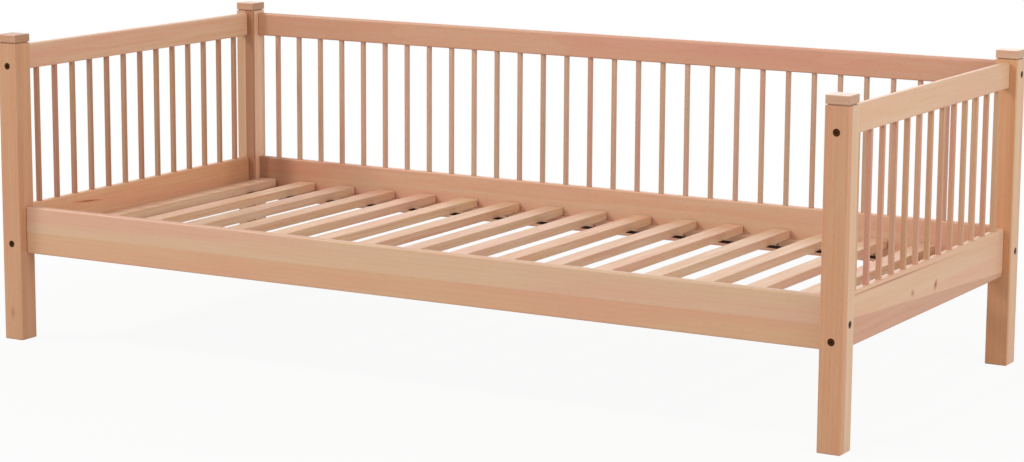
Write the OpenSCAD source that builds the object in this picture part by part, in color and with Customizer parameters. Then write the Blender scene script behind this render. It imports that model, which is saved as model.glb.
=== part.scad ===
// A daybed frame of solid hardwood for a standard single mattress.
// Four square posts, each with a cap block over a shadow gap, carry three spindle panels.
// The front is open.
// A slatted base, held together by two straps, lies loose on ledgers and lifts out.
// X runs along the bed, Y from front to back and Z up. The origin is on the floor, under the centre.

/* [Mattress] */
// Length of the mattress
mattress_length = 2000; // [1400:10:2200]
// Width of the mattress
mattress_width = 900; // [700:10:1200]
// Free play at each end of the mattress
end_play = 5.5; // [2:0.5:10]
// Free play at each long side of the mattress
side_play = 3.5; // [2:0.5:10]

/* [Posts] */
// Side of the square posts
post_size = 51; // [49:1:70]
// Height of a post without its cap
post_height = 682.5; // [600:0.5:900]
// Radius of a post's upright arrises
post_rounding = 3; // [1:0.5:6]
// Chamfer round the foot of a post
foot_chamfer = 2; // [0.5:0.5:4]

/* [Caps] */
// Height of a cap block
cap_height = 17.5; // [14:0.5:40]
// Height of the shadow gap under a cap block
cap_gap = 2.5; // [1:0.5:6]
// Depth of the shadow gap
cap_gap_depth = 4; // [2:0.5:8]
// Radius of a cap block's top edges
cap_rounding = 2; // [1:0.5:5]
// Radius of a cap block's lower edges
cap_under_rounding = 1; // [0.5:0.5:3]
// Diameter of the dowel under a cap
cap_dowel_d = 10; // [8:1:12]
// Length of that dowel inside the post
cap_dowel_in_post = 16; // [10:1:30]
// Length of that dowel inside the cap
cap_dowel_in_cap = 12; // [8:1:14]

/* [Rails] */
// Thickness of all boards and rails
rail_thickness = 18; // [16:1:22]
// Height of the front board and the low rails
low_rail_height = 108; // [96:1:150]
// Underside of the low rails above the floor
low_rail_rise = 201; // [120:1:280]
// Height of the top rails
top_rail_height = 57; // [52:1:80]
// Top of the top rails below the top of the posts
top_rail_drop = 5.5; // [2:0.5:20]
// End rails' outer faces behind the posts' outer faces
end_setback = 16.5; // [12:0.5:19]
// Long rails' front faces behind the posts' front faces
side_setback = 22; // [18:1:26]
// Radius of the upper edges of the top rails
top_rounding = 6; // [2:0.5:7]
// Radius of the upper edges of the low rails
low_rounding = 4.5; // [2:0.5:7]
// Radius of the lower edges of all rails
under_rounding = 3; // [1:0.5:5]
// Radius of the edges round the rails' ends
end_rounding = 3; // [1:0.5:5]

/* [Spindles] */
// Width of a spindle along its rail
spindle_width = 10; // [8:1:16]
// Depth of a spindle across its rail
spindle_depth = 11; // [7:0.5:12]
// Radius of a spindle's arrises
spindle_rounding = 1.5; // [0.5:0.5:3]
// Distance from one spindle to the next
spindle_pitch = 64.4; // [50:0.1:75]
// Smallest gap from a post to the first spindle
spindle_end_gap = 40; // [30:1:60]
// Depth of the mortises that the spindles stand in
mortise_depth = 12; // [8:1:20]
// Room left above a spindle in its upper mortise
mortise_room = 0.8; // [0.4:0.1:2]

/* [Slatted base] */
// Number of slats
slat_count = 17; // [13:1:20]
// Width of a slat
slat_width = 45; // [40:1:60]
// Thickness of a slat
slat_thickness = 20; // [16:1:25]
// Radius of a slat's long arrises
slat_rounding = 2; // [1:0.5:5]
// Gap from a slat's end to the board beside it
slat_end_gap = 4; // [2:1:8]
// Gap from an end rail to the nearest slat
slat_edge_gap = 25; // [20:1:60]
// Width of the straps under the slats
strap_width = 27; // [24:1:40]
// Thickness of the straps
strap_thickness = 1.5; // [1:0.1:3]
// Middle of a strap from the slats' ends
strap_inset = 112; // [60:1:200]
// Length of a strap past the outermost slats
strap_tail = 0; // [0:1:10]

/* [Ledgers] */
// Width of the ledgers that carry the slats
ledger_width = 22; // [18:1:28]
// Height of the ledgers
ledger_height = 30; // [24:1:40]
// Underside of the ledgers above the underside of the low rails
ledger_rise = 3.5; // [0:0.5:15]
// Gap from a ledger's end to the post beside it
ledger_end_gap = 2; // [1:0.5:10]
// Radius of a ledger's long arrises
ledger_rounding = 1; // [0.5:0.5:3]

/* [Bolts] */
// Diameter of the bed bolts
bolt_d = 6; // [5:1:7]
// Diameter of a bolt's flat head
bolt_head_d = 15; // [13:0.5:17]
// Height of a bolt's head
bolt_head_height = 3.5; // [3:0.5:5]
// Chamfer round a bolt's head
bolt_rim = 0.7; // [0.3:0.1:1.2]
// Bolt head below the face of the post
bolt_recess = 0.6; // [0:0.1:2]
// Hexagon key size, across the flats
hex_key = 4; // [3:1:5]
// Depth of the hexagon socket
hex_depth = 2.4; // [1.5:0.1:2.8]
// Length of bolt that is held in the threaded insert
bolt_grip = 18; // [12:1:20]
// Outer diameter of the threaded inserts
insert_d = 10; // [9.5:0.5:11]
// Length of the threaded inserts
insert_length = 25; // [21:1:30]
// Height of the end rails' lower bolts above the rail's underside
end_bolt_rise_low = 22; // [18:1:30]
// Height of the end rails' upper bolts above the rail's underside
end_bolt_rise_top = 11; // [10:1:16]

/* [Dowels and screws] */
// Diameter of the locating dowels
dowel_d = 8; // [6:1:8]
// Length of a locating dowel inside the post
dowel_in_post = 16; // [10:1:17]
// Length of a locating dowel inside the rail
dowel_in_rail = 22; // [16:1:30]
// Long rails' dowels from the upper and lower edge
dowel_edge = 12; // [10:1:14]
// End rails' dowel below the top of a low rail
end_dowel_drop_low = 30; // [26:1:34]
// End rails' dowel below the top of a top rail
end_dowel_drop_top = 16; // [14:1:18]
// Diameter of the ledger screws
screw_d = 4; // [3:0.5:5]
// Length of the ledger screws
screw_length = 35; // [31:1:37]
// Slats from one ledger screw to the next
screw_every = 2; // [1:1:4]

/* [Staples] */
// Width of a staple's crown
staple_width = 12; // [8:1:16]
// Thickness of the staple wire
staple_wire = 1.2; // [0.8:0.1:1.6]
// Length of a staple's legs
staple_leg = 10; // [6:1:12]
// Distance between the two staples at each crossing
staple_spacing = 14; // [8:1:16]

/* [Clearances] */
// Bolt bores wider than the bolts
bolt_play = 1; // [0.5:0.1:1.5]
// Counterbores wider than the bolt heads
head_play = 0.6; // [0.2:0.1:1]
// Holes wider than dowels, inserts and screws
fit_play = 0.1; // [0.04:0.02:0.2]
// Holes deeper than the dowels and bolts in them
depth_play = 1; // [0.5:0.5:2]
// Mortises wider than the spindles
spindle_play = 0.2; // [0.1:0.1:0.6]
// Slots wider than the staples
staple_play = 0.06; // [0.02:0.02:0.2]

/* [Hidden] */
$fn = 48;
cut = 1;            // overrun of every cut past the face that it opens
pin_chamfer = 1;    // chamfer at each end of a dowel
screw_tip = 1.5;    // length of a screw's tip, in screw diameters
screw_point = 0.25; // diameter of a screw's point, in screw diameters
SIDES = [-1, 1];

// Sizes over all
rail_inner = end_setback + rail_thickness;
bed_length = mattress_length + 2 * (end_play + rail_inner);
front_inner = side_setback + rail_thickness;
back_outer = post_size - side_setback;
bed_width = mattress_width + 2 * side_play + front_inner + back_outer;
span_x = bed_length - 2 * post_size;
span_y = bed_width - 2 * post_size;

// Places of the rails, at their middles
end_x = bed_length / 2 - end_setback - rail_thickness / 2;
front_y = -bed_width / 2 + side_setback + rail_thickness / 2;
back_y = bed_width / 2 - post_size + side_setback + rail_thickness / 2;
low_top = low_rail_rise + low_rail_height;
top_top = post_height - top_rail_drop;
top_under = top_top - top_rail_height;
low_bolt_z = low_rail_rise + low_rail_height / 2;
top_bolt_z = top_under + top_rail_height / 2;
LOW_DOWEL_Z = [low_rail_rise + dowel_edge, low_top - dowel_edge];
TOP_DOWEL_Z = [top_under + dowel_edge, top_top - dowel_edge];
END_BOLT_Z = [low_rail_rise + end_bolt_rise_low, top_under + end_bolt_rise_top];
END_DOWEL_Z = [low_top - end_dowel_drop_low, top_top - end_dowel_drop_top];

// Spindles
back_count = floor((span_x - spindle_width - 2 * spindle_end_gap) / spindle_pitch) + 1;
end_count = floor((span_y - spindle_width - 2 * spindle_end_gap) / spindle_pitch) + 1;
spindle_z = low_top - mortise_depth;
spindle_length = top_under - low_top + 2 * mortise_depth - mortise_room;

// Slatted base
ledger_top = low_rail_rise + ledger_rise + ledger_height;
slat_front = front_y + rail_thickness / 2 + slat_end_gap;
slat_back = back_y - rail_thickness / 2 - slat_end_gap;
slat_first = -bed_length / 2 + rail_inner + slat_edge_gap + slat_width / 2;
slat_pitch = -2 * slat_first / (slat_count - 1);
STRAP_Y = [slat_front + strap_inset, slat_back - strap_inset];
ledger_length = span_x - 2 * ledger_end_gap;
ledger_middle_z = ledger_top - ledger_height / 2;
screw_last = slat_count - 1;

// Bolts
bolt_seat = bolt_recess + bolt_head_height;
bolt_end = post_size + bolt_grip;

WOOD = "#C99F7B";
PALE_WOOD = "#D9B492";
SLAT_WOOD = "#DDBB99";
CORNERS = ["front_left", "front_right", "back_left", "back_right"];
ENDS = ["left", "right"];
LONG_SIDES = ["front", "back"];
SLATS = [for (i = [1:slat_count]) str("slat_", i < 10 ? "0" : "", i)];

// Outlines

// A rectangle round the origin, whose corners are true arcs
module rounded_rectangle(width, height, r) {
    square([width - 2 * r, height], center = true);
    square([width, height - 2 * r], center = true);
    for (x = SIDES, y = SIDES)
        translate([x * (width / 2 - r), y * (height / 2 - r)]) circle(r);
}

// A rail's outline: width across, height up from zero, with its own radius above and below
module rail_outline(width, height, r_top, r_under) {
    translate([-width / 2, r_under]) square([width, height - r_top - r_under]);
    translate([-width / 2 + r_top, height - 2 * r_top]) square([width - 2 * r_top, 2 * r_top]);
    translate([-width / 2 + r_under, 0]) square([width - 2 * r_under, 2 * r_under]);
    for (x = SIDES) {
        translate([x * (width / 2 - r_top), height - r_top]) circle(r_top);
        translate([x * (width / 2 - r_under), r_under]) circle(r_under);
    }
}

// A rail along X, on z = 0, with its long edges and its ends eased
module rail_bar(length, height, r_top) {
    intersection() {
        along_x(length) rail_outline(rail_thickness, height, r_top, under_rounding);
        linear_extrude(height) rounded_rectangle(length, rail_thickness, end_rounding);
        along_y(rail_thickness) translate([0, height / 2]) rounded_rectangle(length, height, end_rounding);
    }
}

// Lays an outline along X, with its own up as Z
module along_x(length) {
    translate([-length / 2, 0, 0]) rotate([90, 0, 90]) linear_extrude(length) children();
}

// Lays an outline along Y, with its own up as Z
module along_y(length) {
    translate([0, length / 2, 0]) rotate([90, 0, 0]) linear_extrude(length) children();
}

// Places of the joints, where local Z runs from a post's outer face into the rail

module at_long_joint(side, y, z) {
    translate([side * bed_length / 2, y, z]) rotate([0, -side * 90, 0]) children();
}

module at_end_joint(side_x, side_y, z) {
    translate([side_x * end_x, side_y * bed_width / 2, z]) rotate([side_y * 90, 0, 0]) children();
}

// Puts its children at every bolt of the long rails and of the end rails
module at_bolts() {
    for (x = SIDES) {
        at_long_joint(x, front_y, low_bolt_z) children();
        at_long_joint(x, back_y, low_bolt_z) children();
        at_long_joint(x, back_y, top_bolt_z) children();
        for (y = SIDES, z = END_BOLT_Z) at_end_joint(x, y, z) children();
    }
}

// Puts its children at every locating dowel
module at_dowels() {
    for (x = SIDES) {
        for (y = [front_y, back_y], z = LOW_DOWEL_Z) at_long_joint(x, y, z) children();
        for (z = TOP_DOWEL_Z) at_long_joint(x, back_y, z) children();
        for (y = SIDES, z = END_DOWEL_Z) at_end_joint(x, y, z) children();
    }
}

// Fasteners, each on local Z from a post's outer face

module bed_bolt() {
    difference() {
        union() {
            translate([0, 0, bolt_recess])
                cylinder(h = bolt_rim, d1 = bolt_head_d - 2 * bolt_rim, d2 = bolt_head_d);
            translate([0, 0, bolt_recess + bolt_rim])
                cylinder(h = bolt_head_height - bolt_rim, d = bolt_head_d);
            translate([0, 0, bolt_seat]) cylinder(h = bolt_end - bolt_seat, d = bolt_d);
        }
        translate([0, 0, bolt_recess - cut])
            cylinder(h = hex_depth + cut, d = hex_key / cos(30), $fn = 6);
    }
}

module bolt_bore() {
    translate([0, 0, -cut]) cylinder(h = bolt_seat + cut, d = bolt_head_d + head_play);
    cylinder(h = bolt_end + depth_play, d = bolt_d + bolt_play);
    translate([0, 0, post_size - cut])
        cylinder(h = insert_length + cut, d = insert_d + fit_play);
}

// The same bore without the insert's seat, for the posts
module post_bore() {
    translate([0, 0, -cut]) cylinder(h = bolt_seat + cut, d = bolt_head_d + head_play);
    cylinder(h = post_size + cut, d = bolt_d + bolt_play);
}

module threaded_insert() {
    translate([0, 0, post_size]) difference() {
        cylinder(h = insert_length, d = insert_d);
        translate([0, 0, -cut]) cylinder(h = insert_length + 2 * cut, d = bolt_d + fit_play);
    }
}

// A round pin with chamfered ends, from one local height to another
module pin(d, low, high) {
    narrow = d - 2 * pin_chamfer;
    translate([0, 0, low]) cylinder(h = pin_chamfer, d1 = narrow, d2 = d);
    translate([0, 0, low + pin_chamfer]) cylinder(h = high - low - 2 * pin_chamfer, d = d);
    translate([0, 0, high - pin_chamfer]) cylinder(h = pin_chamfer, d1 = d, d2 = narrow);
}

module locating_dowel() {
    pin(dowel_d, post_size - dowel_in_post, post_size + dowel_in_rail);
}

module dowel_bore() {
    translate([0, 0, post_size - dowel_in_post - depth_play])
        cylinder(h = dowel_in_post + dowel_in_rail + 2 * depth_play, d = dowel_d + fit_play);
}

// A countersunk screw from a ledger's inner face at z = 0 into the board, or its hole with play
module ledger_screw(play = 0) {
    tip = screw_tip * screw_d;
    body = screw_d + play;
    cylinder(h = screw_d / 2, d1 = 2 * screw_d + play, d2 = body);
    cylinder(h = screw_length - tip, d = body);
    translate([0, 0, screw_length - tip]) cylinder(h = tip + play, d1 = body, d2 = screw_point * body);
}

module at_ledger_screws() {
    for (i = [0:screw_every:screw_last], s = SIDES) {
        face_y = s < 0 ? front_y + rail_thickness / 2 + ledger_width
                       : back_y - rail_thickness / 2 - ledger_width;
        translate([slat_first + i * slat_pitch, face_y, ledger_middle_z])
            rotate([-s * 90, 0, 0]) children();
    }
}

// A staple, crown down, that goes up into a slat from its strap's underside
module staple(play = 0) {
    wire = staple_wire + play;
    translate([-staple_width / 2 - play / 2, -wire / 2, -staple_wire])
        cube([staple_width + play, wire, staple_wire]);
    for (x = SIDES)
        translate([x * (staple_width - staple_wire) / 2 - wire / 2, -wire / 2, -staple_wire])
            cube([wire, wire, staple_wire + staple_leg + play]);
}

// Places of the two staples where strap s crosses slat i
module at_crossing(i, s) {
    for (y = SIDES)
        translate([slat_first + i * slat_pitch, STRAP_Y[s] + y * staple_spacing / 2,
                   ledger_top - strap_thickness])
            children();
}

// Pieces

module post(side_x, side_y) {
    color(WOOD) difference() {
        translate([side_x * (bed_length - post_size) / 2, side_y * (bed_width - post_size) / 2, 0])
            difference() {
                linear_extrude(post_height) rounded_rectangle(post_size, post_size, post_rounding);
                for (a = [0:90:270])
                    rotate([0, 0, a]) translate([post_size / 2, 0, 0]) rotate([0, 45, 0])
                        cube([foot_chamfer * sqrt(2), 2 * post_size, foot_chamfer * sqrt(2)],
                             center = true);
                translate([0, 0, post_height - cap_dowel_in_post - depth_play])
                    cylinder(h = cap_dowel_in_post + depth_play + cut, d = cap_dowel_d + fit_play);
            }
        at_bolts() post_bore();
        at_dowels() dowel_bore();
    }
}

module cap_outline() {
    rail_outline(post_size, cap_height, cap_rounding, cap_under_rounding);
}

module post_cap(side_x, side_y) {
    neck = post_size - 2 * cap_gap_depth;
    color(PALE_WOOD)
        translate([side_x * (bed_length - post_size) / 2, side_y * (bed_width - post_size) / 2,
                   post_height])
            difference() {
                union() {
                    linear_extrude(cap_gap) square(neck, center = true);
                    translate([0, 0, cap_gap]) intersection() {
                        linear_extrude(cap_height)
                            rounded_rectangle(post_size, post_size, post_rounding);
                        along_x(post_size) cap_outline();
                        along_y(post_size) cap_outline();
                    }
                }
                translate([0, 0, -cut])
                    cylinder(h = cap_dowel_in_cap + depth_play + cut, d = cap_dowel_d + fit_play);
            }
}

// The mortises of a row of spindles along X, cut up from z = 0
module mortise_row(count) {
    for (i = [0:count - 1])
        translate([(i - (count - 1) / 2) * spindle_pitch, 0, mortise_depth / 2])
            cube([spindle_width + spindle_play, spindle_depth + spindle_play, mortise_depth],
                 center = true);
}

// A row of spindles along X
module spindle_row(count) {
    color(WOOD)
        for (i = [0:count - 1])
            translate([(i - (count - 1) / 2) * spindle_pitch, 0, spindle_z])
                linear_extrude(spindle_length)
                    rounded_rectangle(spindle_width, spindle_depth, spindle_rounding);
}

module low_rail(length, count) {
    translate([0, 0, low_rail_rise]) difference() {
        rail_bar(length, low_rail_height, low_rounding);
        translate([0, 0, low_rail_height - mortise_depth]) mortise_row(count);
        translate([0, 0, low_rail_height]) mortise_row(count);
    }
}

module top_rail(length, count) {
    translate([0, 0, top_under]) difference() {
        rail_bar(length, top_rail_height, top_rounding);
        mortise_row(count);
        translate([0, 0, -mortise_depth]) mortise_row(count);
    }
}

// Drills the rails' ends for bolts, inserts and dowels, where they are in the frame
module drilled() {
    color(WOOD) difference() {
        children();
        at_bolts() bolt_bore();
        at_dowels() dowel_bore();
    }
}

module at_end(side) {
    translate([side * end_x, 0, 0]) rotate([0, 0, side * 90]) children();
}

module front_board() {
    difference() {
        drilled() translate([0, front_y, low_rail_rise]) rail_bar(span_x, low_rail_height, low_rounding);
        at_ledger_screws() ledger_screw(fit_play);
    }
}

module back_top_rail() {
    drilled() translate([0, back_y, 0]) top_rail(span_x, back_count);
}

module back_low_rail() {
    difference() {
        drilled() translate([0, back_y, 0]) low_rail(span_x, back_count);
        at_ledger_screws() ledger_screw(fit_play);
    }
}

module end_top_rail(side) {
    drilled() at_end(side) top_rail(span_y, end_count);
}

module end_low_rail(side) {
    drilled() at_end(side) low_rail(span_y, end_count);
}

module ledger(side) {
    y = side < 0 ? front_y + (rail_thickness + ledger_width) / 2
                 : back_y - (rail_thickness + ledger_width) / 2;
    color(WOOD) difference() {
        translate([0, y, low_rail_rise + ledger_rise])
            along_x(ledger_length) translate([0, ledger_height / 2])
                rounded_rectangle(ledger_width, ledger_height, ledger_rounding);
        at_ledger_screws() ledger_screw(fit_play);
    }
}

module slat(i) {
    color(SLAT_WOOD) difference() {
        translate([slat_first + i * slat_pitch, (slat_front + slat_back) / 2, ledger_top])
            along_y(slat_back - slat_front) translate([0, slat_thickness / 2])
                rounded_rectangle(slat_width, slat_thickness, slat_rounding);
        for (s = [0, 1]) at_crossing(i, s) staple(staple_play);
    }
}

module strap(s) {
    length = (slat_count - 1) * slat_pitch + slat_width + 2 * strap_tail;
    color("#2B2724") difference() {
        translate([-length / 2, STRAP_Y[s] - strap_width / 2, ledger_top - strap_thickness])
            cube([length, strap_width, strap_thickness]);
        for (i = [0:slat_count - 1]) at_crossing(i, s) staple(staple_play);
    }
}

module strap_staples() {
    color("silver") for (i = [0:slat_count - 1], s = [0, 1]) at_crossing(i, s) staple();
}

module bed_bolts() {
    color("#33261E") at_bolts() bed_bolt();
}

module threaded_inserts() {
    color("gold") at_bolts() threaded_insert();
}

module locating_dowels() {
    color(PALE_WOOD) at_dowels() locating_dowel();
}

module cap_dowels() {
    color(PALE_WOOD)
        for (x = SIDES, y = SIDES)
            translate([x * (bed_length - post_size) / 2, y * (bed_width - post_size) / 2,
                       post_height])
                pin(cap_dowel_d, -cap_dowel_in_post, cap_dowel_in_cap);
}

module ledger_screws() {
    color("silver") at_ledger_screws() ledger_screw();
}

// Corner c of the four: left or right in X, front or back in Y
function corner_x(c) = SIDES[c % 2];
function corner_y(c) = SIDES[floor(c / 2)];

for (c = [0:3])
    post(corner_x(c), corner_y(c));
for (c = [0:3])
    post_cap(corner_x(c), corner_y(c));
front_board();
back_top_rail();
back_low_rail();
for (e = [0, 1])
    end_top_rail(SIDES[e]);
for (e = [0, 1])
    end_low_rail(SIDES[e]);
translate([0, back_y, 0]) spindle_row(back_count);  // back_spindles
for (e = [0, 1])
    at_end(SIDES[e]) spindle_row(end_count);
for (s = [0, 1])
    ledger(SIDES[s]);
for (i = [0:slat_count - 1])
    slat(i);
for (s = [0, 1])
    strap(s);
strap_staples();
bed_bolts();
threaded_inserts();
locating_dowels();
cap_dowels();
ledger_screws();
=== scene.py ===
# %% [markdown]
# This lesson dresses a finished model of a youth's daybed. The wooden parts, bolts and staples are drawn already,
# in real sizes, so nothing wooden is modelled here. What is left is what a drawing can't say: the figure of the
# beech, its lacquer, the woven straps under the slats, the floor, the light and the camera.

# %% Load the bed
import math

import bmesh
import bpy
from mathutils import Matrix, Vector


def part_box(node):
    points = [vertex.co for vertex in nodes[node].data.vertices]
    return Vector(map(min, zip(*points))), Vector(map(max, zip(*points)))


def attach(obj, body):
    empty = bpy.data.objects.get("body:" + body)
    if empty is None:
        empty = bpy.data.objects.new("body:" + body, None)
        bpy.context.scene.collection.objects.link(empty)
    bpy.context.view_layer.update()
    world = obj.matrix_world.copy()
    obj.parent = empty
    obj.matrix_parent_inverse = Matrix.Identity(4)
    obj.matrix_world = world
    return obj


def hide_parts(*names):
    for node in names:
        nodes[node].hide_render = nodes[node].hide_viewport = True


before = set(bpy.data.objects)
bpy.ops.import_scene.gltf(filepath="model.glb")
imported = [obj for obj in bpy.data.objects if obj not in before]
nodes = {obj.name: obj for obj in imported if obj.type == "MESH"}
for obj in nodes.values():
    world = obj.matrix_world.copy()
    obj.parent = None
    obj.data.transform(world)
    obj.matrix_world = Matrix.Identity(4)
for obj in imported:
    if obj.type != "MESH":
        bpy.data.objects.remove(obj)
scene = bpy.context.scene
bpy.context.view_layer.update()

# %% [markdown]
# The camera stands where the photographer stood: to the right of the open front, six metres off and not far above
# the posts. A long lens keeps the posts nearly upright. Its place and turn were found by fitting known edges of
# the bed to the photograph, so they are written down as numbers and not aimed by eye.

# %% Camera
EYE = Vector((3.0982, -5.3492, 1.3621))
HEADING, DIP, ROLL = (math.radians(angle) for angle in (29.89, 9.982, 0.327))
FOCAL_PIXELS, IMAGE_WIDTH, SENSOR_WIDTH = 2786.1, 1024, 36.0
FARTHEST_SEEN = 200                      # metres, past the far edge of the floor

ahead = Vector((-math.sin(HEADING) * math.cos(DIP), math.cos(HEADING) * math.cos(DIP), -math.sin(DIP)))
level = Vector((math.cos(HEADING), math.sin(HEADING), 0))
above = level.cross(ahead)
right = math.cos(ROLL) * level + math.sin(ROLL) * above
up = math.cos(ROLL) * above - math.sin(ROLL) * level

camera_data = bpy.data.cameras.new("photo_camera")
camera_data.sensor_width = SENSOR_WIDTH
camera_data.lens = FOCAL_PIXELS * SENSOR_WIDTH / IMAGE_WIDTH
camera_data.clip_end = FARTHEST_SEEN
camera = bpy.data.objects.new("photo_camera", camera_data)
camera.matrix_world = Matrix.Translation(EYE) @ Matrix((right, up, -ahead)).transposed().to_4x4()
scene.collection.objects.link(camera)
scene.camera = camera
print("lens of", round(camera_data.lens, 1), "mm")

# %% [markdown]
# Blender mixes light in linear numbers, while colours are usually read off as sRGB hex. One function makes the
# change for every colour in this lesson, so that a hex value here looks like the same value in a colour picker.

# %% Colours
def linear(hex_colour):
    """A hex colour such as #C99870, as the linear red, green, blue and alpha that Blender's sockets take."""
    channels = [int(hex_colour[i:i + 2], 16) / 255 for i in (1, 3, 5)]
    return (*[c / 12.92 if c <= 0.04045 else ((c + 0.055) / 1.055) ** 2.4 for c in channels], 1.0)


print("beech in linear numbers:", [round(c, 3) for c in linear("#C99870")])

# %% [markdown]
# A material is a small network of nodes. Adding one always takes the same steps: make it, set it, wire it.
# One helper does all of that. A wire may come from a socket or straight from a node, whose first live output is
# then meant, and it goes to an input by name or by its place among the live inputs.

# %% Node helpers
def add(tree, kind, wires, **settings):
    """One node of that kind, with its own settings, and its inputs set to values or wired to other nodes."""
    node = tree.nodes.new("ShaderNode" + kind)
    for setting, value in settings.items():
        setattr(node, setting, value)
    live = [socket for socket in node.inputs if socket.enabled]
    for key, value in wires.items():
        socket = live[key] if isinstance(key, int) else next(s for s in live if s.name == key)
        if isinstance(value, bpy.types.Node):
            value = next(output for output in value.outputs if output.enabled)
        if isinstance(value, bpy.types.NodeSocket):
            tree.links.new(value, socket)
        else:
            socket.default_value = value
    return node


def new_material(name):
    """An empty material of that name, its node tree and its output node."""
    material = bpy.data.materials.new(name)
    material.use_nodes = True
    material.node_tree.nodes.clear()
    return material, material.node_tree, add(material.node_tree, "OutputMaterial", {})


def add_surface(tree, shader, output):
    """Wires a finished shader to the material's output."""
    tree.links.new(shader.outputs[0], output.inputs["Surface"])


def dress(names, material):
    """Gives drawn parts their material."""
    for name in names:
        for slot in nodes[name].material_slots:
            slot.material = material
    print(material.name, "on", len(names), "drawn parts,", len(material.node_tree.nodes), "nodes")


print("each drawn part has", len(nodes["front_board"].material_slots), "slot for its material")

# %% [markdown]
# Beech is a pale, pinkish hardwood. Four things make up its look: long streaks along the grain, faint growth
# rings, broad blushes of pink, and small dark ray flecks. A flat picture of wood would have to be wrapped round
# each board. This wood is solid instead: its pattern fills space, so that it runs over an edge as real grain does
# and no joint has to be hidden. The grain is turned to lie along each board's length.

# %% Sizes of the beech's figure, in millimetres
MM = 0.001
STREAK, STREAK_STRETCH = 9.0, 24.0       # streaks 9 mm wide and about 200 mm long
BLUSH, BLUSH_STRETCH = 46.0, 12.0        # broad changes of tone
RING, RING_STRETCH = 10.0, 14.0          # real rings are 2 to 4 mm apart, too fine to show from six metres
FLECK, FLECK_STRETCH = 1.1, 6.0          # ray flecks, drawn a little larger than life for the same reason
FLECK_GAP = 2.6                          # one fleck in every square of this many fleck widths
FIBRE, FIBRE_STRETCH = 0.5, 30.0         # the fine fibre that breaks up the gloss
SWAY, SWAY_STRETCH, SWAY_REACH = 60, 6, 8  # the grain sways over such lengths, within a band 8 mm wide
PORE_DEPTH = 0.2                         # how deep the fibre and the rings press into the lacquer
TREE = 900.0                             # how far apart two cells' pieces lie in the tree
ONE_WAVE = math.tau / 20                 # Blender's wave texture has this period at a scale of 1
print("streaks are", STREAK * STREAK_STRETCH, "mm long and blushes", BLUSH * BLUSH_STRETCH, "mm")

# %% [markdown]
# A texture gives numbers that crowd round the middle of their range. The range that is used is spread out again,
# and a share says how far each thing can take the colour.

# %% Figure
STREAK_SPREAD = (0.34, 0.66)
BLUSH_SPREAD, BLUSH_SHARE = (0.42, 0.68), 0.75
RING_FROM, RING_SHARE = 0.35, 0.14
FLECK_EDGE, FLECK_SHARE = (0.20, 0.30), 0.18
BLUSH_SHIFT, RING_SHIFT = 7.3, 1.7       # so that no two patterns start from the same point


def stretched(tree, grain, width, stretch, shift=0.0):
    """Grain coordinates in which a pattern of size 1 is width wide and stretch times as long."""
    return add(tree, "Mapping", {"Vector": grain, "Location": (shift, shift, shift),
                                 "Scale": (1 / width, 1 / width, 1 / (width * stretch))})


def figure_of(tree, grain, figure):
    """The wood's streaks, blushes, rings, flecks and fibre. Figure says how strongly they show."""
    streaks = add(tree, "TexNoise", {"Vector": stretched(tree, grain, STREAK, STREAK_STRETCH), "Scale": 1.0,
                                     "Detail": 4.0, "Roughness": 0.62})
    streaks = add(tree, "MapRange", {"Value": streaks, "From Min": STREAK_SPREAD[0], "From Max": STREAK_SPREAD[1],
                                     "To Min": 0.5 - 0.5 * figure, "To Max": 0.5 + 0.5 * figure})
    blush = add(tree, "TexNoise", {"Vector": stretched(tree, grain, BLUSH, BLUSH_STRETCH, BLUSH_SHIFT),
                                   "Scale": 1.0, "Detail": 2.0})
    blush = add(tree, "MapRange", {"Value": blush, "From Min": BLUSH_SPREAD[0], "From Max": BLUSH_SPREAD[1],
                                   "To Max": BLUSH_SHARE})
    rings = add(tree, "TexWave", {"Vector": stretched(tree, grain, RING / ONE_WAVE, RING_STRETCH, RING_SHIFT),
                                  "Scale": 1.0, "Distortion": 5.0, "Detail": 2.0, "Detail Scale": 0.35},
                wave_type="RINGS", rings_direction="Z", wave_profile="SAW")
    rings = add(tree, "MapRange", {"Value": rings, "From Min": RING_FROM, "To Max": RING_SHARE * figure})
    flecks = add(tree, "TexVoronoi", {"Vector": stretched(tree, grain, FLECK_GAP * FLECK, FLECK_STRETCH),
                                      "Scale": 1.0})
    flecks = add(tree, "MapRange", {"Value": flecks, "From Min": FLECK_EDGE[0], "From Max": FLECK_EDGE[1],
                                    "To Min": FLECK_SHARE * figure, "To Max": 0.0})
    fibre = add(tree, "TexNoise", {"Vector": stretched(tree, grain, FIBRE, FIBRE_STRETCH), "Scale": 1.0,
                                   "Detail": 2.0})
    return streaks, blush, rings, flecks, fibre


print("rings take", RING_SHARE, "and flecks", FLECK_SHARE, "of their shade")

# %% [markdown]
# Boards this wide are glued up from staves, so every board is cut into cells, and each cell takes its wood from
# another place in the tree and has its own tone. The same trick gives each spindle and slat its own tone, though
# all the spindles of one side are a single object. A cell is numbered by rounding down how many pitches a point
# lies from an origin, and that number is what the noise turns into a place and a tone.

# %% Cells
WHOLE_BED = (1e6, -5e5)                  # a pitch and an origin that leave the whole bed in one cell
TO_GRAIN = {"X": (0, math.radians(-90), 0), "Y": (math.radians(90), 0, 0), "Z": (0, 0, 0)}


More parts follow.
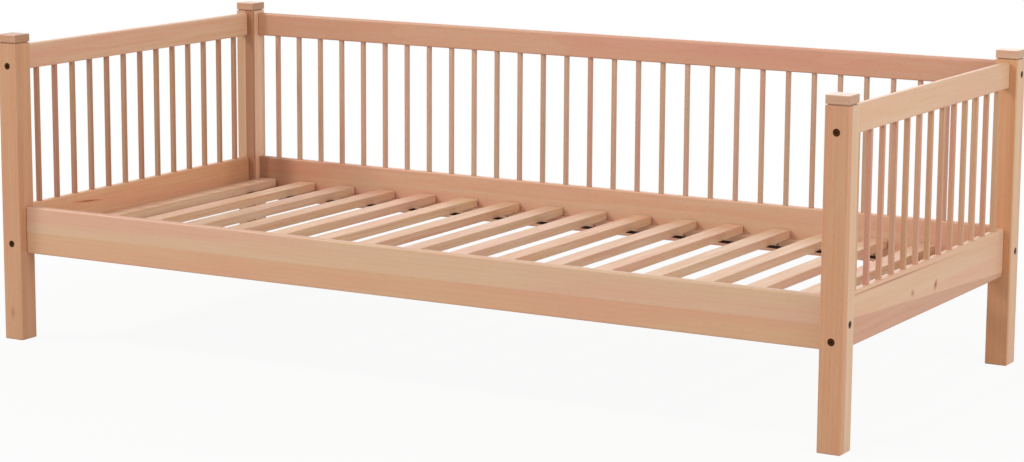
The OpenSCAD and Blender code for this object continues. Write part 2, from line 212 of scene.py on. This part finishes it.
def cell_of(tree, place, cells, tilt, seed):
    """Two outputs for the cell that a point lies in: random numbers, and 1 in every other cell.
    A cell is one stave, spindle or slat. Cells are a (pitch, origin) along each axis, or None."""
    pitch, origin = zip(*[cell or WHOLE_BED for cell in cells])
    leaning = add(tree, "Mapping", {"Vector": place, "Rotation": (tilt, 0, 0)})
    from_origin = add(tree, "VectorMath", {0: leaning, 1: origin}, operation="SUBTRACT")
    count = add(tree, "VectorMath", {0: from_origin, 1: pitch}, operation="DIVIDE")
    whole = add(tree, "VectorMath", {0: count}, operation="FLOOR")
    seeded = add(tree, "VectorMath", {0: whole, 1: (seed, seed, seed)}, operation="ADD")
    chance = add(tree, "TexWhiteNoise", {"Vector": seeded}).outputs["Color"]
    number = add(tree, "VectorMath", {0: whole, 1: (1, 1, 1)}, operation="DOT_PRODUCT").outputs["Value"]
    return chance, add(tree, "Math", {0: number, 1: 1.0}, operation="PINGPONG")


def grain_at(tree, place, along, chance):
    """The place in the tree that a point's wood is cut from, with the grain along Z and swaying a little."""
    turned = add(tree, "Mapping", {"Vector": place, "Rotation": TO_GRAIN[along]})
    from_tree = add(tree, "VectorMath", {0: chance, "Scale": TREE}, operation="SCALE")
    still = add(tree, "VectorMath", {0: turned, 1: from_tree}, operation="ADD")
    sway = add(tree, "TexNoise", {"Vector": stretched(tree, still, SWAY, SWAY_STRETCH), "Scale": 1.0,
                                  "Detail": 1.0})
    sway = add(tree, "VectorMath", {0: sway.outputs["Color"], 1: (SWAY_REACH, SWAY_REACH, 0)},
               operation="MULTIPLY")
    return add(tree, "VectorMath", {0: still, 1: sway}, operation="ADD")


print("cells lie up to", TREE, "mm apart in the tree")

# %% [markdown]
# A knot is what is left of a branch: a dark core in a browner halo, with the grain bowed round it. Here it is an
# ellipsoid, so that a knot which runs through an edge shows on both faces. Long thin ones make dark lines in the
# grain, and broad faint ones are painted shade over a board's end or edge, or a post's face.

# %% Marks
CORE, HALO = (0.5, 1.1), (0.8, 2.8)      # between which reaches, in radii, a mark's core and its halo fade
CORE_COLOUR, HALO_SHADE = "#6B3F28", "#E0B08E"
BOW = 2.5                                # how far the grain is bowed aside, in millimetres


def marked(tree, place, marks):
    """How deep the marks' cores and halos are at a point, and the place with the grain bowed round them.
    A mark is its centre and radii in millimetres, its lean about X, and its depth of colour up to 1."""
    core, halo, bowed = None, None, place
    for centre, radii, lean, depth in marks:
        local = add(tree, "Mapping", {"Vector": place, "Location": centre, "Rotation": (lean, 0, 0),
                                      "Scale": radii}, vector_type="TEXTURE")
        reach = add(tree, "VectorMath", {0: local}, operation="LENGTH").outputs["Value"]
        inner, outer = [add(tree, "MapRange", {"Value": reach, "From Min": start, "From Max": end,
                                               "To Min": depth, "To Max": 0.0},
                            interpolation_type="SMOOTHSTEP") for start, end in (CORE, HALO)]
        core = inner if core is None else add(tree, "Math", {0: core, 1: inner}, operation="MAXIMUM")
        halo = outer if halo is None else add(tree, "Math", {0: halo, 1: outer}, operation="MAXIMUM")
        push = add(tree, "VectorMath", {0: local, "Scale": outer}, operation="SCALE")
        push = add(tree, "VectorMath", {0: push, "Scale": BOW}, operation="SCALE")
        bowed = add(tree, "VectorMath", {0: bowed, 1: push}, operation="SUBTRACT")
    return core, halo, bowed


print("a mark's halo reaches", HALO[1], "radii from its middle")

# %% [markdown]
# The colour is mixed from three tones, pale, warm and pink. Rings and flecks shade it, and each cell changes its
# hue, its strength and its brightness a little. End grain drinks in more of the finish and is a little darker.

# %% Colour
RING_SHADE, FLECK_SHADE, END_GRAIN_SHADE = "#E6AC8A", "#B98A6B", "#EEEAE1"
SATURATION_SPREAD = 0.04
END_GRAIN_FROM, END_GRAIN_FULL = 0.6, 0.9    # how squarely a face looks along the grain, where 1 is square
ALONG = {"X": (1, 0, 0), "Y": (0, 1, 0), "Z": (0, 0, 1)}


def wood_colour(tree, tones, shares, odd, other, chance, tone, tint):
    """The three tones mixed by the figure's shares. Every other cell is tinted by the colour called other, and
    tone and tint say how far the cells' brightness and hue may differ."""
    pale, warm, pink = [linear(colour) for colour in tones]
    streaks, blush, rings, flecks = shares
    colour = add(tree, "Mix", {"Factor": streaks, "A": pale, "B": warm}, data_type="RGBA")
    colour = add(tree, "Mix", {"Factor": blush, "A": colour, "B": pink}, data_type="RGBA")
    for share, shade in ((rings, RING_SHADE), (flecks, FLECK_SHADE)):
        colour = add(tree, "Mix", {"Factor": share, "A": colour, "B": linear(shade)}, data_type="RGBA",
                     blend_type="MULTIPLY")
    tinted = add(tree, "Mix", {"Factor": 1.0, "A": colour, "B": linear(other)}, data_type="RGBA",
                 blend_type="MULTIPLY")
    colour = add(tree, "Mix", {"Factor": odd, "A": colour, "B": tinted}, data_type="RGBA")
    red, green, blue = add(tree, "SeparateColor", {"Color": chance}).outputs[:3]
    value = add(tree, "MapRange", {"Value": red, "To Min": 1 - tone, "To Max": 1 + tone})
    hue = add(tree, "MapRange", {"Value": green, "To Min": 0.5 - tint, "To Max": 0.5 + tint})
    saturation = add(tree, "MapRange", {"Value": blue, "To Min": 1 - SATURATION_SPREAD,
                                        "To Max": 1 + SATURATION_SPREAD})
    return add(tree, "HueSaturation", {"Hue": hue, "Saturation": saturation, "Value": value, "Color": colour})


def shade_ends(tree, colour, normal, along):
    """The colour, shaded where a face looks along the grain."""
    facing = add(tree, "VectorMath", {0: normal, 1: ALONG[along]}, operation="DOT_PRODUCT")
    facing = add(tree, "Math", {0: facing.outputs["Value"]}, operation="ABSOLUTE")
    end_grain = add(tree, "MapRange", {"Value": facing, "From Min": END_GRAIN_FROM, "From Max": END_GRAIN_FULL})
    shaded = add(tree, "Mix", {"Factor": 1.0, "A": colour, "B": linear(END_GRAIN_SHADE)}, data_type="RGBA",
                 blend_type="MULTIPLY")
    return add(tree, "Mix", {"Factor": end_grain, "A": colour, "B": shaded}, data_type="RGBA")


print("end grain is shaded by", [round(c, 2) for c in linear(END_GRAIN_SHADE)[:3]])

# %% [markdown]
# Over it all lies a clear satin lacquer. It is slightly duller in the darker streaks, the fibre and the rings
# press through it, and a thin softer coat on top gives the last bit of shine.

# %% Beech
WOOD_IOR, COAT_ROUGHNESS = 1.5, 0.30     # lacquer bends light as most clear plastics do
GLOSSIER, DULLER = 0.04, 0.06            # how far the pale and the dark streaks differ from the gloss asked for
FIBRE_PRESS, PRESS = 0.6, 0.35           # how strongly the fibre, and fibre and rings together, press through


def beech(name, along, pale, warm, pink, seed, cells=(None, None, None), tilt=0.0, marks=(), other="#FFFFFF",
          tone=0.03, tint=0.003, figure=0.8, gloss=0.50, coat=0.08):
    """Lacquered beech with its grain along X, Y or Z, cut from the place in the tree that the seed picks.
    Gloss is its roughness, coat the weight of its second coat, and figure how strongly the grain shows."""
    material, tree, output = new_material(name)
    coordinates = add(tree, "TexCoord", {}).outputs
    place = add(tree, "Mapping", {"Vector": coordinates["Object"], "Scale": (1 / MM, 1 / MM, 1 / MM)})
    chance, odd = cell_of(tree, place, cells, tilt, seed)
    core, halo, bowed = marked(tree, place, marks)
    grain = grain_at(tree, bowed, along, chance)
    streaks, blush, rings, flecks, fibre = figure_of(tree, grain, figure)

    colour = wood_colour(tree, (pale, warm, pink), (streaks, blush, rings, flecks), odd, other, chance, tone, tint)
    if marks:
        colour = add(tree, "Mix", {"Factor": halo, "A": colour, "B": linear(HALO_SHADE)}, data_type="RGBA",
                     blend_type="MULTIPLY")
        colour = add(tree, "Mix", {"Factor": core, "A": colour, "B": linear(CORE_COLOUR)}, data_type="RGBA")
    colour = shade_ends(tree, colour, coordinates["Normal"], along)

    roughness = add(tree, "MapRange", {"Value": streaks, "To Min": gloss - GLOSSIER, "To Max": gloss + DULLER})
    height = add(tree, "Math", {0: fibre, 1: FIBRE_PRESS, 2: rings}, operation="MULTIPLY_ADD")
    bump = add(tree, "Bump", {"Height": height, "Strength": PRESS, "Distance": PORE_DEPTH * MM})
    wood = add(tree, "BsdfPrincipled", {"Base Color": colour, "Roughness": roughness, "Normal": bump,
                                        "IOR": WOOD_IOR, "Coat Weight": coat, "Coat Roughness": COAT_ROUGHNESS})
    add_surface(tree, wood, output)
    return material


print("the lacquer mirrors", round(100 * ((WOOD_IOR - 1) / (WOOD_IOR + 1)) ** 2), "per cent of straight light")

# %% [markdown]
# Now each family of parts gets its beech. The posts' grain stands upright. Each front post has a layer of browner
# wood glued on in front, 16 mm thick, whose edge shows on the post's side. The back posts have a thinner one that
# is painted shade: it browns their shaded fronts and the first 5 mm of their sides. Every post is cut from its own
# plank, so each has its own three tones. On the back left post that painted shade covers only the right half of
# the front, and a fainter painted shade runs down the left half. The front left post has a small knot near its
# foot, and painted shade darkens the back right one towards its foot.

# %% Posts
LAYER_AND_PAINTED_SHADE = (456.75, -471.5)                # they meet 16 mm into the front posts, and 5 mm into the back ones, where the thin layer is painted shade
PLANK = ((1500.0, -2250.0), LAYER_AND_PAINTED_SHADE, None)        # its staves meet clear of the post
TWO_HALVES = ((1500.0, -1013.5), LAYER_AND_PAINTED_SHADE, None)   # its cells meet in the post's middle, so only the right half of the front takes the painted shade
POSTS = {
    "front_left": dict(cells=PLANK, seed=3.5, pale="#C69B77", warm="#C68F65", pink="#C88B69", other="#F7F7F8",
                       marks=[((-1015.9, -488, 61.9), (4, 4, 9), 0.0, 0.3)]),
    "front_right": dict(cells=PLANK, seed=3.5, pale="#CBB494", warm="#CBA67E", pink="#CDA083", other="#F6D9C9"),
    # On this post the brown right half of the front and the stripe down its left half are both painted shade.
    "back_left": dict(cells=TWO_HALVES, seed=5.5, pale="#DEBE9E", warm="#DCB188", pink="#DEAE8E",
                      other="#C3AC9E", marks=[((-1030, 437, 350), (20, 60, 5000), 0.0, 0.24)]),
    # Its browner front and its mark towards the foot are painted shade.
    "back_right": dict(cells=PLANK, seed=3.5, pale="#CCB291", warm="#CCA57B", pink="#CFA080", other="#FDE5D1",
                       marks=[((1014.5, 437, 60), (60, 5, 200), 0.0, 0.15)]),
}
for corner, look in POSTS.items():
    dress(["post_" + corner], beech(corner + "_post_beech", "Z", **look))

# %% [markdown]
# The caps lie the other way, with their grain along the bed, so that their top and front show long grain, and
# their sides end grain. They have had one coat more and shine a little. The two on the left come from browner
# wood, and the front right one is slightly darker than the one behind it.

# %% Caps
LEFT_AND_RIGHT = (3000.0, -3000.0)       # one cell for the left half of the bed, and one for the right
AS_ONE = (3000.0, -4500.0)               # the whole bed as cell number 1, so that an odd count falls on the left
cap_beech = beech("cap_beech", "X", cells=(LEFT_AND_RIGHT, AS_ONE, None), seed=9.5, pale="#CAA78B",
                  warm="#C69D7C", pink="#C9987E", other="#EEDDD5", gloss=0.38, coat=0.24,
                  marks=[((1014.5, -462.5, 692), (60, 60, 60), 0.0, 0.08)])
dress(["post_cap_" + corner for corner in POSTS], cap_beech)

# %% [markdown]
# The front board and the right low rail are glued up from two staves, one above the other. The front board's
# lower stave is a little pinker, and painted shade darkens its top edge. On the right rail the glue line climbs
# slowly, because a stave isn't always sawn parallel. That rail also shows two small knots and a long thin dark
# line, and the left one a shorter line. Painted shade darkens the left ends of the back rails and the back end of
# the left low rail.

# %% Rails
TWO_STAVES = (None, None, (400.0, 250.0))      # they meet at a height of 250 mm
TINTED_TOP = (None, None, (500.0, 100.0))      # the low rail and the top rail as cells 0 and 1
TINTED_LOW = (None, None, (500.0, -400.0))     # the same rails as cells 1 and 2
LEANING_STAVES, SEAM_LEAN = (None, None, (500.0, 234.3)), 0.0543
# Its one mark is painted shade that darkens the board's top edge.
front_beech = beech("front_board_beech", "X", cells=TWO_STAVES, seed=8.5, pale="#CBAA8B", warm="#C9A17E",
                    pink="#CC9B81", other="#FDF3ED", figure=0.5,
                    marks=[((0, -479, 309), (5000, 60, 1), 0.0, 0.09)])
dress(["front_board"], front_beech)
# Both marks are painted shade: a deep one at the low rail's left end, and a faint one at the top rail's left end.
back_beech = beech("back_rail_beech", "X", cells=TINTED_TOP, seed=12.5, pale="#CEAB8E", warm="#CEA080",
                   pink="#CF9982", other="#F4E7DF",
                   marks=[((-980, 459, 255), (120, 150, 150), 0.0, 0.45),
                          ((-900, 459, 650), (300, 150, 150), 0.0, 0.06)])
dress(["back_top_rail", "back_low_rail", "front_ledger", "back_ledger"], back_beech)
left_beech = beech("left_rail_beech", "Y", cells=TINTED_LOW, seed=5.5, pale="#D6B191", warm="#D3A27E",
                   pink="#D79E84", other="#FDF4E9",
                   marks=[((-1005.5, -222, 286), (5, 26, 1.3), -0.077, 0.9),
                          # This mark is painted shade at the low rail's back end, beside the back left post.
                          ((-1005.5, 437, 255), (60, 115, 150), 0.0, 0.2)])
dress(["left_top_rail", "left_low_rail"], left_beech)
right_beech = beech("right_rail_beech", "Y", cells=LEANING_STAVES, seed=7.5, tilt=SEAM_LEAN, pale="#D2AD8B",
                    warm="#CFA27A", pink="#D19E7F", other="#ECE1EB", figure=0.65,
                    marks=[((1023.5, 33, 251), (8, 4, 6.5), -0.55, 0.95),
                           ((1023.5, -94, 254), (6, 6, 4.5), -0.3, 0.5),
                           ((1023.5, -216, 299.8), (6, 185, 1.3), -0.0105, 0.6)])
dress(["right_top_rail", "right_low_rail"], right_beech)

# %% [markdown]
# A spindle is a single stick, so no two beside each other match. Its cell is one pitch of the row, with the
# cell's edges halfway between two spindles. The end rows have a spindle in their middle, and the back row hasn't.

# %% Spindles and dowels
SPINDLE_PITCH = 64.4
BACK_ROW = ((SPINDLE_PITCH, 0.0), None, None)
END_ROWS = (AS_ONE, (SPINDLE_PITCH, SPINDLE_PITCH / 2), None)
back_spindle_beech = beech("back_spindle_beech", "Z", cells=BACK_ROW, seed=2.5, pale="#C3A487", warm="#BC9374",
                           pink="#BF8C79", tone=0.06)
left_spindle_beech = beech("left_spindle_beech", "Z", cells=END_ROWS, seed=4.5, pale="#AF8C6B", warm="#AA7D5A",
                           pink="#AD7660", tone=0.05, tint=0.001, figure=0.6)
right_spindle_beech = beech("right_spindle_beech", "Z", cells=END_ROWS, seed=4.5, pale="#BF9C79", warm="#BA8A67",
                            pink="#BD836E", tone=0.04, tint=0.001, figure=0.6)
dress(["back_spindles"], back_spindle_beech)
dress(["left_spindles", "locating_dowels", "cap_dowels"], left_spindle_beech)
dress(["right_spindles"], right_spindle_beech)

# %% [markdown]
# The slats are planed and sanded but hardly lacquered: paler, drier and with the grain across the bed. They have
# no second coat, and without its even sheen their streaks show more than on any other part.

# %% Slats
SLAT_COUNT, SLAT_PITCH = 17, 119.75
SLATS = [f"slat_{i:02d}" for i in range(1, SLAT_COUNT + 1)]
slat_beech = beech("sanded_slat_beech", "Y", cells=((SLAT_PITCH, SLAT_PITCH / 2), None, None), seed=6.5,
                   pale="#D5B494", warm="#CFA581", pink="#D2A087", tone=0.025, tint=0.0012, figure=1.3, coat=0.0)
dress(SLATS, slat_beech)

# %% [markdown]
# The bed bolts are steel under a dark bronze lacquer. They look almost black from the front and brown where they
# catch the light. The staples and inserts are zinc plated: bright, slightly blue, with a faint mottle. The wood
# screws are zinc plated too, but passivated yellow, so that they hardly show against the beech.

# %% Metals
GLOSS_SPREAD, SPOT_PRESS = 0.08, 0.3     # how far a metal's roughness and its surface vary from spot to spot


def metal(name, light, dark, mottle, roughness, bump_height):
    """A metal whose tone and gloss vary in spots. Their size, mottle, and bump_height are in millimetres."""
    material, tree, output = new_material(name)
    metres = add(tree, "TexCoord", {}).outputs["Object"]
    spots = add(tree, "TexNoise", {"Vector": metres, "Scale": 1 / (mottle * MM), "Detail": 3.0})
    colour = add(tree, "Mix", {"Factor": spots, "A": linear(dark), "B": linear(light)}, data_type="RGBA")
    rough = add(tree, "MapRange", {"Value": spots, "To Min": roughness - GLOSS_SPREAD,
                                   "To Max": roughness + GLOSS_SPREAD})
    bump = add(tree, "Bump", {"Height": spots, "Strength": SPOT_PRESS, "Distance": bump_height * MM})
    add_surface(tree, add(tree, "BsdfPrincipled", {"Base Color": colour, "Metallic": 1.0, "Roughness": rough,
                                                   "Normal": bump}), output)
    return material


dress(["bed_bolts"], metal("bronze_lacquered_steel", "#4E321C", "#321F10", 1.5, 0.42, 0.05))
dress(["strap_staples", "threaded_inserts"], metal("zinc_plated_steel", "#C9CCD0", "#A4A8AE", 0.8, 0.34, 0.02))
dress(["ledger_screws"], metal("yellow_zinc_plated_steel", "#8F7A5E", "#6E5A41", 0.8, 0.46, 0.02))

# %% [markdown]
# Two straps of woven polyester webbing hold the slats at their pitch, stapled to the underside of each. Between
# two slats the webbing hangs a little, because nobody pulls it tight as a string. Cloth simulation would only
# crumple so flat and stiff a band, so it is modelled directly: a grid is laid out along the strap, each row
# of points sinks by how far it is from a slat, and the sheet is given its thickness and two rounded selvedges.

# %% Straps
SAG = 1.6 * MM
STRAP_THICKNESS, SELVEDGE = 1.3 * MM, 0.4 * MM
ROWS_PER_PITCH, COLUMNS = 12, 6
slat_low, slat_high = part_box(SLATS[0])
SLAT_WIDTH = slat_high.x - slat_low.x


def strap(node_name):
    """The webbing that stands for one drawn strap."""
    low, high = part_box(node_name)
    rows = ROWS_PER_PITCH * SLAT_COUNT
    mesh = bmesh.new()
    bmesh.ops.create_grid(mesh, x_segments=rows, y_segments=COLUMNS, size=0.5)
    bmesh.ops.scale(mesh, vec=(high.x - low.x, high.y - low.y, 1), verts=mesh.verts)
    bmesh.ops.translate(mesh, vec=((low.x + high.x) / 2, (low.y + high.y) / 2, high.z), verts=mesh.verts)
    half_slat, half_gap = SLAT_WIDTH / 2, (SLAT_PITCH * MM - SLAT_WIDTH) / 2
    for point in mesh.verts:
        from_slat = abs((point.co.x / (SLAT_PITCH * MM) + 0.5) % 1 - 0.5) * SLAT_PITCH * MM
        along_gap = max(0.0, (from_slat - half_slat) / half_gap)
        point.co.z -= SAG * math.sin(along_gap * math.pi / 2) ** 2
    bmesh.ops.recalc_face_normals(mesh, faces=mesh.faces)
    if sum(face.normal.z for face in mesh.faces) > 0:
        bmesh.ops.reverse_faces(mesh, faces=mesh.faces)
    bmesh.ops.solidify(mesh, geom=mesh.faces[:], thickness=-STRAP_THICKNESS)
    bmesh.ops.recalc_face_normals(mesh, faces=mesh.faces)
    data = bpy.data.meshes.new(node_name + "_webbing")
    mesh.to_mesh(data)
    mesh.free()
    data.shade_smooth()
    piece = bpy.data.objects.new(node_name + "_webbing", data)
    scene.collection.objects.link(piece)
    bevel = piece.modifiers.new("selvedge", "BEVEL")
    bevel.width, bevel.segments, bevel.limit_method = SELVEDGE, 2, "ANGLE"
    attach(piece, "slat_base")
    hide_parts(node_name)
    print(piece.name, "is", round((high.x - low.x) / MM), "mm long and has", len(data.polygons), "faces")
    return piece


straps = {name: strap(name) for name in ("front_strap", "back_strap")}

# %% [markdown]
# The webbing is a herringbone twill: slanting ribs that turn round at the strap's middle. Yarns 1.4 mm apart
# show as brown on black where light gets at them, and hardly at all in the shade of the slats. Yarn has a fuzz
# of its own fibres, which takes away nearly all its shine.

# %% Webbing
YARN, FUZZ, RIB_HEIGHT = 1.4, 0.6, 0.25  # millimetres
SMOOTHEST, ROUGHEST, SHEEN_LEFT, WEAVE_PRESS = 0.80, 1.0, 0.1, 0.8


def webbing(name, middle):
    """Black polyester webbing whose ribs turn round at the strap's middle line, y = middle in metres."""
    material, tree, output = new_material(name)
    metres = add(tree, "TexCoord", {}).outputs["Object"]
    x, y = add(tree, "SeparateXYZ", {"Vector": metres}).outputs[:2]
    across = add(tree, "Math", {0: y, 1: middle}, operation="SUBTRACT")
    across = add(tree, "Math", {0: across}, operation="ABSOLUTE")
    slant = add(tree, "Math", {0: x, 1: across}, operation="ADD")
    rib = add(tree, "Math", {0: slant, 1: math.tau / (2 * YARN * MM)}, operation="MULTIPLY")
    rib = add(tree, "Math", {0: rib}, operation="SINE")
    yarn = add(tree, "Math", {0: across, 1: math.tau / (YARN * MM)}, operation="MULTIPLY")
    yarn = add(tree, "Math", {0: yarn}, operation="COSINE")
    weave = add(tree, "Math", {0: rib, 1: yarn}, operation="ADD")
    weave = add(tree, "MapRange", {"Value": weave, "From Min": -2.0, "From Max": 2.0})  # what two waves reach
    fuzz = add(tree, "TexNoise", {"Vector": metres, "Scale": 1 / (FUZZ * MM), "Detail": 2.0})
    shade = add(tree, "Math", {0: weave, 1: fuzz}, operation="MULTIPLY")
    colour = add(tree, "Mix", {"Factor": shade, "A": linear("#120A05"), "B": linear("#2E1E14")},
                 data_type="RGBA")
    rough = add(tree, "MapRange", {"Value": fuzz, "To Min": SMOOTHEST, "To Max": ROUGHEST})
    bump = add(tree, "Bump", {"Height": weave, "Strength": WEAVE_PRESS, "Distance": RIB_HEIGHT * MM})
    add_surface(tree, add(tree, "BsdfPrincipled", {"Base Color": colour, "Roughness": rough, "Normal": bump,
                                                   "Specular IOR Level": SHEEN_LEFT}), output)
    return material


for node_name, piece in straps.items():
    low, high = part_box(node_name)
    piece.data.materials.append(webbing(node_name + "_polyester", (low.y + high.y) / 2))
    print(piece.name, "is woven round y =", round((low.y + high.y) / 2, 4))

# %% [markdown]
# The bed stands in a bright studio on a plain pale floor. To the camera, and in the lacquer's reflections, the
# floor is lifted to white by a glow that lights nothing, so that the background is clean and the bed keeps a soft
# shadow under it. The glow grows with distance, and floor and sky meet without a line.

# %% Floor
FLOOR_HALF, FLOOR_SQUARES = 40.0, 8
LIFT_FROM, LIFT_TO = 1.0, 2.4            # metres from the bed's middle over which the floor's glow grows to full
SHADOW_LIFT = 0.92                       # how much of the shadow on the floor is lifted, near the bed


def seen(tree):
    """1 for rays that show the surroundings, by sight, reflection or through glass, and 0 for rays that light."""
    rays = add(tree, "LightPath", {}).outputs
    direct = add(tree, "Math", {0: rays["Is Camera Ray"], 1: rays["Is Glossy Ray"]}, operation="MAXIMUM")
    return add(tree, "Math", {0: direct, 1: rays["Is Transmission Ray"]}, operation="MAXIMUM")


mesh = bmesh.new()
bmesh.ops.create_grid(mesh, x_segments=FLOOR_SQUARES, y_segments=FLOOR_SQUARES, size=FLOOR_HALF)
floor_data = bpy.data.meshes.new("studio_floor")
mesh.to_mesh(floor_data)
mesh.free()
floor = bpy.data.objects.new("studio_floor", floor_data)
scene.collection.objects.link(floor)

floor_paint, tree, output = new_material("pale_studio_paper")
metres = add(tree, "TexCoord", {}).outputs["Object"]
distance = add(tree, "VectorMath", {0: metres}, operation="LENGTH").outputs["Value"]
lift = add(tree, "MapRange", {"Value": distance, "From Min": LIFT_FROM, "From Max": LIFT_TO,
                              "To Min": SHADOW_LIFT, "To Max": 1.0}, interpolation_type="SMOOTHSTEP")
lift = add(tree, "Math", {0: lift, 1: seen(tree)}, operation="MULTIPLY")
paper = add(tree, "BsdfDiffuse", {"Color": linear("#C6C3BE")})
glow = add(tree, "Emission", {"Color": (1, 1, 1, 1), "Strength": 1.0})
add_surface(tree, add(tree, "MixShader", {0: lift, 1: paper, 2: glow}), output)
floor_data.materials.append(floor_paint)
print("the floor reaches", FLOOR_HALF, "m each way")

# %% [markdown]
# Most of the light comes from all round, as between large white reflectors. It is strongest at the horizon and
# half as strong overhead. Rays that only show the surroundings see plain white instead.

# %% Surroundings
HORIZON, ZENITH = 1.00, 0.50             # 1 would by itself show a colour as it is written
world = bpy.data.worlds.new("studio")
scene.world = world
world.use_nodes = True
world.node_tree.nodes.clear()
tree = world.node_tree
height = add(tree, "SeparateXYZ", {"Vector": add(tree, "TexCoord", {}).outputs["Generated"]}).outputs["Z"]
sky = add(tree, "MapRange", {"Value": height, "To Min": HORIZON, "To Max": ZENITH})
brightness = add(tree, "Mix", {"Factor": seen(tree), "A": sky, "B": 1.0}, data_type="FLOAT")
air = add(tree, "Background", {"Color": (1, 1, 1, 1), "Strength": brightness})
tree.links.new(air.outputs[0], add(tree, "OutputWorld", {}).inputs["Surface"])
print("the sky falls from", HORIZON, "at the horizon to", ZENITH, "overhead")

# %% [markdown]
# A few soft lamps give the light a direction. The main one hangs on the left, somewhat to the front, and throws
# faint shadows that slant down to the right. One on the right lights that end, and a weak one in front and one
# behind fill in. A lamp's power is worked out from the level wanted at the bed's middle, where 1 shows a colour
# as it is written.

# %% Lamps
BED_MIDDLE = Vector((0, 0, 0.35))
LAMPS = {                                # direction from the bed, distance and size in metres, level at the bed
    "main_lamp": ((-1, -0.55, 1), 10.0, 1.8, 0.45),
    "front_lamp": ((-0.2, -1, 0.35), 5.5, 1.8, 0.12),
    "right_lamp": ((1, -0.2, 0.35), 6.0, 2.0, 0.28),
    "back_lamp": ((-0.45, 1, 0.55), 10.0, 5.0, 0.17),
}
for name, (towards, distance, size, level) in LAMPS.items():
    data = bpy.data.lights.new(name, "AREA")
    data.size = size
    data.energy = level * (math.pi * distance) ** 2
    direction = Vector(towards).normalized()
    lamp = bpy.data.objects.new(name, data)
    lamp.location = BED_MIDDLE + direction * distance
    lamp.rotation_euler = direction.to_track_quat("Z", "Y").to_euler()
    scene.collection.objects.link(lamp)
    print(name, "at", [round(c, 2) for c in lamp.location], "with", round(data.energy), "W")

# %% [markdown]
# Last, the colours are shown as they are, with no film look over them. They differ only by what cloth may stand
# proud.

# %% Finish
scene.view_settings.view_transform = "Standard"
